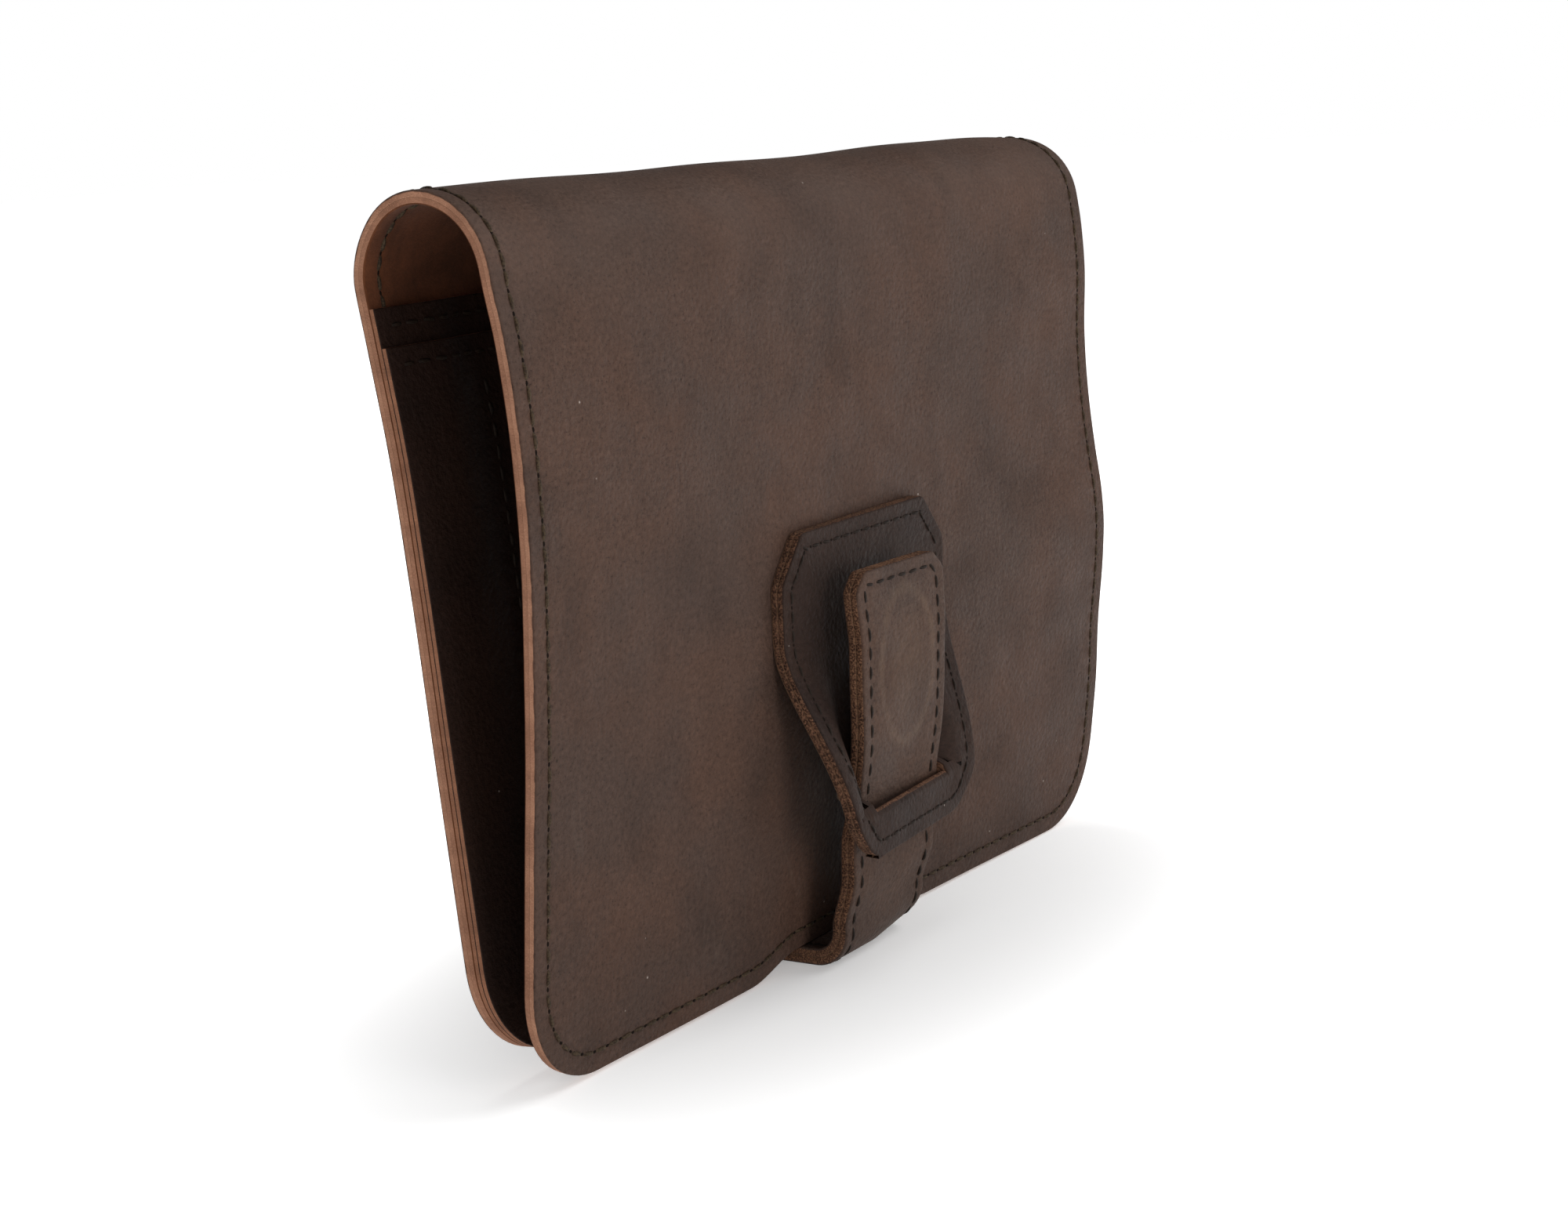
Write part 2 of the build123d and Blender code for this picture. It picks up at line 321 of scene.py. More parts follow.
def rounded(corners, radii, step=math.radians(6)):
    """A closed outline with each corner rounded, from corners given in turn."""
    corners = [np.array(c, float) for c in corners]
    points = []
    for k, (corner, radius) in enumerate(zip(corners, radii, strict=True)):
        before = corners[k - 1] - corner
        after = corners[(k + 1) % len(corners)] - corner
        before, after = before / np.linalg.norm(before), after / np.linalg.norm(after)
        opening = math.acos(np.clip(before @ after, -1, 1))
        if radius <= 0 or opening > math.pi - 0.01:
            points.append(corner)
            continue
        reach = radius / math.tan(opening / 2)
        middle = corner + (before + after) / np.linalg.norm(before + after) * radius / math.sin(opening / 2)
        start, end = corner + before * reach - middle, corner + after * reach - middle
        turn = math.atan2(start[0] * end[1] - start[1] * end[0], start @ end)
        for share in np.linspace(0, 1, max(2, math.ceil(abs(turn) / step) + 1)):
            c, s = math.cos(turn * share), math.sin(turn * share)
            points.append(middle + [start[0] * c - start[1] * s, start[0] * s + start[1] * c])
    return np.array(points)


def gap_to(outlines):
    """A function giving the distance from places in the flat to the nearest of some closed outlines."""
    starts = np.concatenate(outlines)
    sides = np.concatenate([np.roll(o, -1, axis=0) - o for o in outlines])
    lengths = (sides**2).sum(1)

    def gap(x, s):
        flat = np.stack([x, s], -1).reshape(-1, 1, 2)
        t = np.clip(((flat - starts) * sides).sum(-1) / lengths, 0, 1)
        away = flat - starts - t[..., None] * sides
        return np.sqrt((away**2).sum(-1).min(1)).reshape(x.shape)

    return gap


def inset_line(outline, inset):
    """A convex outline moved inwards."""
    ahead = np.roll(outline, -1, axis=0) - outline
    keep = np.linalg.norm(ahead, axis=1) > 1e-7
    outline, ahead = outline[keep], ahead[keep]
    area = (outline[:, 0] * np.roll(outline[:, 1], -1) - np.roll(outline[:, 0], -1) * outline[:, 1]).sum()
    ahead /= np.linalg.norm(ahead, axis=1)[:, None]
    inward = np.stack([-ahead[:, 1], ahead[:, 0]], 1) * np.sign(area)
    back = np.roll(inward, 1, axis=0)
    mitre = (inward + back) / (1 + (inward * back).sum(1))[:, None]
    return outline + mitre * inset


def side_places(outline, rows):
    """Left and right end of each row across a convex outline."""
    low, high = [], []
    ends = np.roll(outline, -1, axis=0)
    for row in rows:
        row = np.clip(row, outline[:, 1].min() + 1e-7, outline[:, 1].max() - 1e-7)
        crossing = (outline[:, 1] - row) * (ends[:, 1] - row) <= 0
        a, b = outline[crossing], ends[crossing]
        level = np.abs(b[:, 1] - a[:, 1]) < 1e-12
        share = np.where(level, 0, (row - a[:, 1]) / np.where(level, 1, b[:, 1] - a[:, 1]))
        x = a[:, 0] + share * (b[:, 0] - a[:, 0])
        low.append(x.min())
        high.append(x.max())
    return np.array(low), np.array(high)


def oblong(left, right, low, high):
    return [(left, low), (right, low), (right, high), (left, high)]


def panel_outline(top, top_radius):
    """A panel as wide as the case, from the foot of the back up."""
    corners = oblong(-half_width, half_width, 0, top)
    return rounded(corners, [corner_radius, corner_radius, top_radius, top_radius])


cover_outline = panel_outline(cover.length, corner_radius)

# The strap's corners are cut off, and eased where the knife turned.
strap_left, strap_right = closure_middle - strap_half, closure_middle + strap_half
strap_corners = [
    (strap_left, strap_end_cut), (strap_left + strap_end_cut, 0),
    (strap_right - strap_end_cut, 0), (strap_right, strap_end_cut),
    (strap_right, strap.length - strap_end_cut), (strap_right - strap_end_cut, strap.length),
    (strap_left + strap_end_cut, strap.length), (strap_left, strap.length - strap_end_cut),
]  # fmt: skip
strap_outline = rounded(strap_corners, [3 * mm] * len(strap_corners))

toe_lean, foot_lean = 3.6 * mm, 1.3 * mm
tongue_bulge, tongue_turn, tongue_length = 2 * mm, 2.4 * mm, 48 * mm
strap_ripple, right_lift = 0.15 * mm, 3 * mm


def strap_place(x, s, depth):
    """The front run leans back to the case at its foot, and the tongue's left side turns in towards its tip."""
    up_front = s - front_bend_run[2]
    lean = foot_lean * rise(up_front, 34 * mm, 24 * mm) + toe_lean * rise(up_front, 15 * mm, 0)
    lean = lean * rise(s, front_bend_run[0] - 20 * mm, front_bend_run[0])
    up_tongue = s - strap.length + tongue_length
    bulge = tongue_bulge * bell(up_tongue, 0, 20 * mm)
    leftward = np.clip((strap_right - x) / (2 * strap_half), 0, 1)
    turn = tongue_turn * leftward * rise(up_tongue, 0, tongue_length)
    ripple = strap_ripple * np.sin(s * 140 + x * 60) * rise(up_front, 0, 20 * mm)
    spot = strap.place(x, s, depth + turn + ripple - bulge)
    spot[..., 1] += lean
    rightward = np.clip((x - closure_middle) / strap_half, 0, 1)
    spot[..., 2] += right_lift * rightward * bell(s, front_bend_run[1] + 3 * mm, 13 * mm)
    return spot


# Keeper's outline: half widths to the left and right of its middle, in millimetres, from the top down
keeper_left_halves = (27.5, 37, 36.5, 31, 22)
keeper_right_halves = (33, 43, 43, 37, 27)
keeper_heights = (keeper_top, keeper_top - 12 * mm, keeper_top - 32 * mm, keeper_foot + 10 * mm, keeper_foot)
keeper_corners = [
    (keeper_middle + side * half * mm, z)
    for side, halves in ((1, keeper_right_halves), (-1, keeper_left_halves))
    for half, z in list(zip(halves, keeper_heights, strict=True))[::side]
]
keeper_radii = [3 * mm, 6 * mm, 24 * mm, 10 * mm, 12 * mm]
keeper_outline = rounded(keeper_corners, keeper_radii + keeper_radii[::-1])
slot_left, slot_right = keeper_middle - slot_half, keeper_middle + slot_half
slot_outline = np.array(oblong(slot_left, slot_right, bar_top, slot_top))

# ---------------------------------------------------------------- cutting sheets

edge_steps = np.array([0, 0.12, 0.3, 0.6, 1.2, 2.1, 3.0, 3.6, 4.3, 5.0, 5.6, 6.3, 7.5, 9.5]) * mm
cut_steps = np.array([0, 0.25, 1.0]) * mm
one_step = cut_steps[:1]


def spaced(low, high, pitch, low_steps=edge_steps, high_steps=edge_steps):
    """Stations from low to high, close together at both ends and evenly spaced between."""
    first, last = low + low_steps, high - high_steps[::-1]
    count = max(1, round((last[0] - first[-1]) / pitch))
    return np.concatenate([first, np.linspace(first[-1], last[0], count + 1)[1:-1], last])


def spaced_runs(*runs):
    """Stations over runs that follow each other, each given as for spaced."""
    first, *rest = [spaced(*run) for run in runs]
    return np.concatenate([first, *[stations[1:] for stations in rest]])


def grid(outline, rows, pitch, sides=edge_steps):
    """Columns across an outline at every row: x and s for each crossing."""
    left, right = (ends[:, None] for ends in side_places(outline, rows))
    inner_left, inner_right = left + sides[-1], right - sides[-1]
    count = max(1, round((inner_right - inner_left).max() / pitch))
    share = np.linspace(0, 1, count + 1)[1:-1]
    middle = inner_left + share * (inner_right - inner_left)
    x = np.concatenate([left + sides, middle, right - sides[::-1]], axis=1)
    return x, np.repeat(rows[:, None], x.shape[1], axis=1)


def ease(gap, radius):
    """How far a rounded edge drops below its face at a distance from the cut."""
    inside = np.clip(radius - gap, 0, radius)
    return radius - np.sqrt(radius**2 - inside**2)


def give_attribute(mesh, name, vectors):
    attribute = mesh.attributes.new(name, "FLOAT_VECTOR", "POINT")
    attribute.data.foreach_set("vector", np.asarray(vectors, np.float32).ravel())


def place_piece(name, mesh):
    piece = bpy.data.objects.new(name, mesh)
    bpy.context.scene.collection.objects.link(piece)
    return piece


def new_piece(name, vertices, faces, finishes, finish_of_face, hide):
    mesh = bpy.data.meshes.new(name)
    mesh.from_pydata(vertices.tolist(), [], faces.tolist())
    for finish in finishes:
        mesh.materials.append(finish)
    mesh.polygons.foreach_set("material_index", np.asarray(finish_of_face, np.int32))
    mesh.polygons.foreach_set("use_smooth", np.ones(len(mesh.polygons), bool))
    give_attribute(mesh, "hide", hide)
    mesh.update()
    mesh.set_sharp_from_angle(angle=sharpest_smooth_turn)
    return place_piece(name, mesh)


def cut_line(quads, flat):
    """The cut round kept cells: its sides in order, the corners on it, each side's ends in them, and the way out."""
    ring = np.concatenate([quads[:, [k, (k + 1) % 4]] for k in range(4)])
    there, back = ring[:, 0] * len(flat) + ring[:, 1], ring[:, 1] * len(flat) + ring[:, 0]
    sides = ring[~np.isin(there, back)]
    corners = np.unique(sides)
    ends = np.searchsorted(corners, sides)
    along = flat[sides[:, 1]] - flat[sides[:, 0]]
    square = unit_rows(np.stack([along[:, 1], -along[:, 0]], 1))
    out = np.zeros((len(corners), 2))
    for k in (0, 1):
        np.add.at(out, ends[:, k], square)
    return corners, ends, unit_rows(out)


def cut_sheet(
    name, x, s, place, depths, finishes, gap, kept=None, grain="near", soft=(0.35 * mm, 0.2 * mm), seam=0.0,
    groove=(0.0, 0.0), edge_bulge=0.1 * mm,
):  # fmt: skip
    """A closed sheet over a grid in the flat, from its near to its far depth. Finishes are near, far and cut."""
    near, far = depths
    rows, columns = x.shape
    count = rows * columns
    kept = np.ones((rows - 1, columns - 1), bool) if kept is None else kept
    away = gap(x, s)
    press = bell(away, seam, 0.75 * mm)
    near_depth = near + ease(away, soft[0]) + groove[0] * press
    far_depth = far - ease(away, soft[1]) - groove[1] * press

    index = np.arange(count).reshape(rows, columns)
    quads = np.stack([index[:-1, :-1][kept], index[:-1, 1:][kept], index[1:, 1:][kept], index[1:, :-1][kept]], 1)
    near_face = place(x, s, near_depth)
    outward = (place(x, s, near_depth - 0.1 * mm) - near_face).reshape(-1, 3)
    middle = quads[len(quads) // 2]
    first = near_face.reshape(-1, 3)[middle]
    turned = np.cross(first[1] - first[0], first[3] - first[0]) @ outward[middle[0]] < 0
    if turned:
        quads = quads[:, ::-1]

    flat = np.stack([x, s], -1).reshape(-1, 2)
    corners, ends, out = cut_line(quads, flat)
    if turned:
        out = -out
    on_cut = away.ravel()[corners] < 0.02 * mm
    vertices = [near_face.reshape(-1, 3), place(x, s, far_depth).reshape(-1, 3)]
    levels, depth_of, flats = [corners], [near_depth.ravel(), far_depth.ravel()], [flat, flat]
    for k in range(1, wall_steps):
        share = k / wall_steps
        depth = near_depth.ravel()[corners] * (1 - share) + far_depth.ravel()[corners] * share
        bulge = np.where(on_cut, edge_bulge * math.sin(math.pi * share), 0)
        spot = flat[corners] + out * bulge[:, None]
        vertices.append(place(spot[:, 0], spot[:, 1], depth))
        depth_of.append(depth)
        flats.append(spot)
        levels.append(2 * count + (k - 1) * len(corners) + np.arange(len(corners)))
    levels.append(corners + count)
    p, q = ends.T
    walls = [np.stack([a[q], a[p], b[p], b[q]], 1) for a, b in zip(levels[:-1], levels[1:], strict=True)]
    walls = np.concatenate(walls)
    faces = np.concatenate([quads, quads[:, ::-1] + count, walls])
    finish_of_face = np.repeat([0, 1, 2], [len(quads), len(quads), len(walls)])

    vertices, depth_of, flats = np.concatenate(vertices), np.concatenate(depth_of), np.concatenate(flats)
    from_grain = depth_of - near if grain == "near" else far - depth_of
    hide = np.column_stack([flats, from_grain])
    busy = np.zeros(len(vertices), bool)
    busy[faces.ravel()] = True
    renumber = np.cumsum(busy) - 1
    return new_piece(name, vertices[busy], renumber[faces], finishes, finish_of_face, hide[busy])


# ---------------------------------------------------------------- finishes


class Bench:
    """A bench for laying out one tree of nodes, with a short call for each."""

    def __init__(self, tree):
        self.tree = tree

    def node(self, kind, inputs=(), **settings):
        node = self.tree.nodes.new(kind)
        for key, value in settings.items():
            setattr(node, key, value)
        for key, value in dict(inputs).items():
            if isinstance(value, bpy.types.NodeSocket):
                self.tree.links.new(value, node.inputs[key])
            else:
                node.inputs[key].default_value = value
        return node

    def maths(self, operation, a, b=0.0):
        return self.node("ShaderNodeMath", {0: a, 1: b}, operation=operation).outputs[0]

    def times(self, a, b):
        return self.maths("MULTIPLY", a, b)

    def vector(self, **axes):
        return self.node("ShaderNodeCombineXYZ", axes).outputs[0]

    def span(self, value, low, high, to_low=0.0, to_high=1.0, kind="SMOOTHSTEP"):
        values = {"Value": value, "From Min": low, "From Max": high, "To Min": to_low, "To Max": to_high}
        return self.node("ShaderNodeMapRange", values, interpolation_type=kind).outputs["Result"]


class FinishBench(Bench):
    """A bench for one finish."""

    def __init__(self, name):
        self.finish = bpy.data.materials.new(name)
        self.finish.use_nodes = True
        super().__init__(self.finish.node_tree)
        self.tree.nodes.clear()

    def hide(self, stretch=(1, 1, 1), shift=(0, 0, 0)):
        """Place in the flat, in metres, stretched for a pattern with a direction."""
        read = self.node("ShaderNodeAttribute", attribute_name="hide").outputs["Vector"]
        return self.node("ShaderNodeMapping", {"Vector": read, "Scale": stretch, "Location": shift}).outputs[0]

    def hide_axis(self, axis):
        """One measure of the place in the flat: X across, Y along the run, Z the depth below the grain."""
        return self.node("ShaderNodeSeparateXYZ", {0: self.hide()}).outputs[axis]

    def noise(self, size, detail=2.0, rough=0.5, distortion=0.0, **where):
        """Soft blotches about as large as size, 0 to 1."""
        values = {"Vector": self.hide(**where), "Scale": 1 / size, "Detail": detail, "Roughness": rough}
        return self.node("ShaderNodeTexNoise", {**values, "Distortion": distortion}).outputs["Fac"]

    def cells(self, size, feature="F1", output="Distance", **where):
        values = {"Vector": self.hide(**where), "Scale": 1 / size, "Randomness": 1.0}
        return self.node("ShaderNodeTexVoronoi", values, feature=feature).outputs[output]

    def mix(self, share, a, b, blend="MIX"):
        a, b = (tone if isinstance(tone, bpy.types.NodeSocket) else (*tone, 1.0) for tone in (a, b))
        settings = {"data_type": "RGBA", "blend_type": blend, "clamp_factor": True}
        return self.node("ShaderNodeMix", {0: share, 6: a, 7: b}, **settings).outputs[2]

    def scale(self, colour, amount):
        return self.node("ShaderNodeVectorMath", {0: colour, "Scale": amount}, operation="SCALE").outputs[0]

    def bump(self, height, depth, strength=1.0, under=None):
        values = {"Height": height, "Distance": depth, "Strength": strength}
        if under is not None:
            values["Normal"] = under
        return self.node("ShaderNodeBump", values).outputs["Normal"]

    def done(self, colour, roughness, normal=None, specular=0.0, **more):
        """Constants go straight onto the shader's own sockets."""
        values = {"Base Color": colour, "Roughness": roughness, "Specular IOR Level": specular}
        if normal is not None:
            values["Normal"] = normal
        shader = self.node("ShaderNodeBsdfPrincipled", {**values, **more})
        self.node("ShaderNodeOutputMaterial", {"Surface": shader.outputs[0]})
        return self.finish


def waxed_clouds(bench, warm, cool, deep):
    """Cloudy browns, deeper where wax has gathered, with drags where it has been pulled."""
    colour = bench.mix(bench.span(bench.noise(45 * mm, 3, 0.55), 0.36, 0.64), cool, warm)
    gathered = bench.span(bench.noise(26 * mm, 4, 0.6, shift=(0.3, 0.7, 0)), 0.45, 0.75)
    colour = bench.mix(bench.times(gathered, 0.55), colour, deep)
    pull = bench.noise(9 * mm, 4, 0.65, stretch=(1, 0.3, 1), shift=(0.9, 0.2, 0))
    tones = {"Red": (0.36, 0.64), "Green": (0.37, 0.63), "Blue": (0.38, 0.62)}
    drags = {key: bench.span(pull, 0.2, 0.8, *tone) for key, tone in tones.items()}
    return bench.mix(0.25, colour, bench.node("ShaderNodeCombineColor", drags).outputs[0], "OVERLAY")


def with_pores(bench, colour, mottle):
    pores = bench.span(bench.noise(0.75 * mm, 2, 0.6, shift=(0.2, 0.6, 0)), 0.56, 0.7, 0.0, 0.42)
    speckle = bench.maths("SUBTRACT", bench.span(mottle, 0.3, 0.7, -0.22, 0.28, "LINEAR"), pores)
    return bench.scale(colour, bench.maths("ADD", 1.0, speckle))


def with_dust(bench, colour):
    """Pale flecks, a few to a hand's width."""
    colours, reach = (bench.cells(9 * mm, output=kind, shift=(0.11, 0.07, 0)) for kind in ("Color", "Distance"))
    picked = bench.node("ShaderNodeSeparateColor", {0: colours}).outputs[0]
    fleck = bench.times(bench.span(reach, 0.04, 0.02), bench.span(picked, 0.55, 0.6))
    return bench.mix(bench.times(fleck, 0.7), colour, (0.36, 0.31, 0.27))


def with_scuffs(bench, colour):
    """Faint pale lines, in patches."""
    line = bench.noise(14 * mm, 2, 0.4, 0.6, stretch=(1, 0.22, 1), shift=(0.4, 0.5, 0))
    line = bench.maths("ABSOLUTE", bench.maths("SUBTRACT", line, 0.5))
    patch = bench.noise(30 * mm, 1, shift=(0.8, 0.15, 0))
    scuff = bench.times(bench.span(line, 0.012, 0.0), bench.span(patch, 0.6, 0.68))
    return bench.mix(bench.times(scuff, 0.05), colour, (0.2, 0.15, 0.12))


def with_fold_wear_and_sheen(bench, colour):
    """Paler over the top of the fold: partly wear where hands rub it, partly a painted sheen where the fold's top
    catches the light.
    """
    run = bench.hide_axis("Y")
    rise, fall = fold_run[0] - 10 * mm, fold_run[4] + 25 * mm
    top = bench.times(bench.span(run, rise, fold_run[2]), bench.span(run, fall, fold_run[2]))
    # The paler top is partly wear and partly painted sheen of the light on the fold.
    wear_and_sheen = bench.times(top, bench.span(bench.noise(30 * mm, 3), 0.3, 0.7, 0.08, 0.24))
    return bench.mix(wear_and_sheen, colour, (0.17, 0.11, 0.085))


def with_thumb_oval(bench, colour):
    """A plain rubbed oval near the tongue's tip."""
    across = bench.maths("SUBTRACT", bench.hide_axis("X"), closure_middle + 1 * mm)
    along = bench.maths("SUBTRACT", bench.hide_axis("Y"), strap.length - 27 * mm)
    shares = [bench.maths("DIVIDE", off, half) for off, half in ((across, 13 * mm), (along, 21 * mm))]
    squares = [bench.maths("POWER", share, 2.0) for share in shares]
    reach = bench.maths("SQRT", bench.maths("ADD", *squares))
    rim = bench.times(bench.span(reach, 0.82, 0.97), bench.span(reach, 1.12, 0.97))
    glow = bench.maths("ADD", bench.times(rim, 0.16), bench.span(reach, 1.0, 0.2, 0.0, 0.1))
    patchy = bench.span(bench.noise(4 * mm, 3, 0.6), 0.3, 0.7, 0.3, 1.0)
    return bench.mix(bench.times(glow, patchy), colour, (0.22, 0.15, 0.1))


def grain_bump(bench, mottle):
    """A fine pebble over a broad unevenness."""
    pebble = bench.cells(1.25 * mm, "SMOOTH_F1")
    height = bench.maths("ADD", bench.times(pebble, 0.6), bench.times(mottle, 0.9))
    fine = bench.bump(height, 0.34 * mm, 1.0)
    return bench.bump(bench.noise(7 * mm, 2, 0.5), 0.35 * mm, 0.5, fine)


def waxed_hide(name, warm, cool, deep, *marks):
    """Waxed full-grain hide, with any marks of its own."""
    bench = FinishBench(name)
    mottle = bench.noise(1.4 * mm, 3, 0.7)
    colour = with_pores(bench, waxed_clouds(bench, warm, cool, deep), mottle)
    for mark in (with_dust, with_scuffs, *marks):
        colour = mark(bench, colour)
    rough = bench.span(bench.noise(18 * mm, 3, 0.6), 0.3, 0.7, 0.5, 0.64)
    return bench.done(colour, rough, grain_bump(bench, mottle), 0.075)


def cut_edge(name, pale, deep, skin, fibre=0.55 * mm, contrast=0.8, skin_depth=0.3 * mm):
    """A cut edge: pale fibres under a dark skin."""
    bench = FinishBench(name)
    fibres = bench.span(bench.noise(fibre, 3, 0.7), 0.4, 0.64)
    patches = bench.span(bench.noise(8 * mm, 3, 0.6), 0.3, 0.7, 0.0, 1 - contrast)
    colour = bench.mix(bench.maths("ADD", bench.times(fibres, contrast), patches), deep, pale)
    wander = bench.span(bench.noise(3 * mm), 0.3, 0.7, 0.7, 1.3)
    below = bench.maths("DIVIDE", bench.hide_axis("Z"), wander)
    colour = bench.mix(bench.span(below, skin_depth * 0.6, skin_depth * 1.4), skin, colour)
    height = bench.maths("ADD", fibres, bench.noise(1.2 * mm, 2))
    return bench.done(colour, 0.8, bench.bump(height, 0.12 * mm, 0.8), 0.1)


def napped(name, pale, deep):
    """The napped flesh side of a hide, brushed one way."""
    bench = FinishBench(name)
    nap = bench.noise(0.7 * mm, 4, 0.7)
    clouds = bench.span(bench.noise(18 * mm, 4, 0.6), 0.3, 0.7)
    brushed = bench.span(bench.noise(3 * mm, 3, 0.6, stretch=(1, 0.25, 1)), 0.3, 0.7, -0.08, 0.08)
    light = bench.maths("ADD", bench.span(nap, 0.25, 0.75, 0.78, 1.18, "LINEAR"), brushed)
    colour = bench.scale(bench.mix(clouds, deep, pale), light)
    sheen = {"Sheen Weight": 0.05, "Sheen Roughness": 0.5}
    return bench.done(colour, 0.92, bench.bump(nap, 0.16 * mm, 0.9), 0.05, **sheen)


def waxed_thread(name, tone, shadow):
    bench = FinishBench(name)
    strand = bench.noise(0.5 * mm, 2, 0.6)
    colour = bench.mix(bench.span(strand, 0.35, 0.65), shadow, tone)
    return bench.done(colour, 0.65, bench.bump(strand, 0.06 * mm, 0.8), 0.12)


def needle_shadow(name, tone):
    bench = FinishBench(name)
    rag = bench.noise(0.3 * mm, 2)
    colour = bench.mix(rag, tone, tuple(v * 1.8 for v in tone))
    return bench.done(colour, 0.95, bench.bump(rag, 0.05 * mm), 0.05)


# Hides are given by their warm, cool and deep browns, and cut edges by pale, deep and skin.

cover_skin = waxed_hide(
    "cover_waxed_hide", (0.061, 0.0335, 0.0235), (0.051, 0.031, 0.0235), (0.034, 0.0205, 0.0155), with_fold_wear_and_sheen
)
# The pockets' hide is its own dark brown, darkened further as painted shade of the case's deep inside.
pocket_hide_and_painted_shade = waxed_hide("pocket_waxed_hide", (0.02, 0.01, 0.007), (0.017, 0.0092, 0.007), (0.011, 0.006, 0.0045))
strap_skin = waxed_hide(
    "strap_waxed_hide", (0.064, 0.036, 0.025), (0.055, 0.035, 0.027), (0.038, 0.023, 0.018), with_thumb_oval
)
# The keeper's hide is its own darker brown, darkened further as painted shade from the tongue standing over it.
keeper_hide_and_painted_shade = waxed_hide(
    "keeper_waxed_hide", (0.026, 0.0139, 0.0097), (0.0232, 0.0139, 0.011), (0.0145, 0.008, 0.0063)
)
lining_nap = napped("lining_napped_side", (0.105, 0.036, 0.0155), (0.064, 0.022, 0.0098))
flesh_side = napped("raw_flesh_side", (0.16, 0.088, 0.05), (0.1, 0.055, 0.032))
cover_cut = cut_edge(
    "cover_cut_edge", (0.4, 0.205, 0.127), (0.24, 0.115, 0.07), (0.045, 0.018, 0.013), 0.5 * mm, 0.4, 0.4 * mm
)
lining_cut = cut_edge(
    "lining_cut_edge", (0.35, 0.172, 0.104), (0.2, 0.093, 0.056), (0.25, 0.11, 0.06), 0.5 * mm, 0.4, 0.01 * mm
)
pocket_cut = cut_edge(
    "pocket_cut_edge", (0.31, 0.14, 0.078), (0.17, 0.076, 0.044), (0.04, 0.018, 0.013), 0.4 * mm, 0.4, 0.2 * mm
)
strap_cut = cut_edge("strap_cut_edge", (0.23, 0.115, 0.065), (0.02, 0.0095, 0.0065), (0.035, 0.021, 0.015))
keeper_cut = cut_edge("keeper_cut_edge", (0.19, 0.094, 0.055), (0.014, 0.007, 0.005), (0.03, 0.018, 0.013))
thread_finish = waxed_thread("waxed_thread", (0.058, 0.038, 0.021), (0.02, 0.012, 0.007))
dark_thread = waxed_thread("dark_waxed_thread", (0.018, 0.011, 0.007), (0.008, 0.005, 0.0035))
hole_finish = needle_shadow("needle_hole_shadow", (0.006, 0.004, 0.003))


# ---------------------------------------------------------------- sewing


def sewing_tree(name, build_shape, sizes):
    """A tree that sets one small shape at every point, its Z on the leather's face and its X along the seam."""
    tree = bpy.data.node_groups.new(name, "GeometryNodeTree")
    wanted = [("Geometry", "NodeSocketGeometry", None)]
    wanted += [(label, "NodeSocketFloat", size) for label, size in {**sizes, "Wander": 0.05}.items()]
    wanted += [("Seed", "NodeSocketInt", 7), ("Finish", "NodeSocketMaterial", None)]
    for label, kind, default in wanted:
        item = tree.interface.new_socket(name=label, in_out="INPUT", socket_type=kind)
        if default is not None:
            item.default_value = default
    tree.interface.new_socket(name="Geometry", in_out="OUTPUT", socket_type="NodeSocketGeometry")

    bench = Bench(tree)
    given = bench.node("NodeGroupInput").outputs
    face, run = (
        bench.node("GeometryNodeInputNamedAttribute", {"Name": label}, data_type="FLOAT_VECTOR").outputs["Attribute"]
        for label in ("face", "run")
    )
    axes = {"Primary Axis": face, "Secondary Axis": run}
    square = bench.node("FunctionNodeAxesToRotation", axes, primary_axis="Z", secondary_axis="X").outputs[0]
    lowest, highest = bench.times(given["Wander"], -1), given["Wander"]
    limits = {2: lowest, 3: highest, "Seed": given["Seed"]}
    wander = bench.node("FunctionNodeRandomValue", limits, data_type="FLOAT").outputs[1]
    twist = bench.node("FunctionNodeAxisAngleToRotation", {"Axis": (0, 0, 1), "Angle": wander}).outputs[0]
    turn = bench.node("FunctionNodeRotateRotation", {"Rotation": square, "Rotate By": twist}, rotation_space="LOCAL")
    shape = build_shape(bench, given)
    set_out = {"Points": given["Geometry"], "Instance": shape, "Rotation": turn.outputs[0]}
    copies = bench.node("GeometryNodeInstanceOnPoints", set_out).outputs[0]
    real = bench.node("GeometryNodeRealizeInstances", {0: copies}).outputs[0]
    finish = bench.node("GeometryNodeSetMaterial", {"Geometry": real, "Material": given["Finish"]})
    bench.node("NodeGroupOutput", {0: finish.outputs[0]})
    return tree


def stitch_shape(bench, given):
    """A short thread that dives at both ends."""
    half = bench.times(given["Stitch Length"], 0.5)
    ends = {"Start": bench.vector(X=bench.times(half, -1.0)), "End": bench.vector(X=half)}
    line = bench.node("GeometryNodeCurvePrimitiveLine", ends).outputs[0]
    points = bench.node("GeometryNodeResampleCurve", {"Curve": line, "Count": 6}).outputs[0]
    share = bench.node("GeometryNodeSplineParameter").outputs["Factor"]
    reach = bench.maths("ABSOLUTE", bench.maths("SUBTRACT", bench.times(share, 2.0), 1.0))
    dive = bench.times(bench.times(bench.maths("POWER", reach, 3.0), given["Dive"]), -1.0)
    bend = bench.node("GeometryNodeSetPosition", {"Geometry": points, "Offset": bench.vector(Z=dive)}).outputs[0]
    width = {"Resolution": 6, "Radius": bench.times(given["Thread Width"], 0.5)}
    ring = bench.node("GeometryNodeCurvePrimitiveCircle", width).outputs[0]
    thread = {"Curve": bend, "Profile Curve": ring, "Fill Caps": True}
    return bench.node("GeometryNodeCurveToMesh", thread).outputs[0]


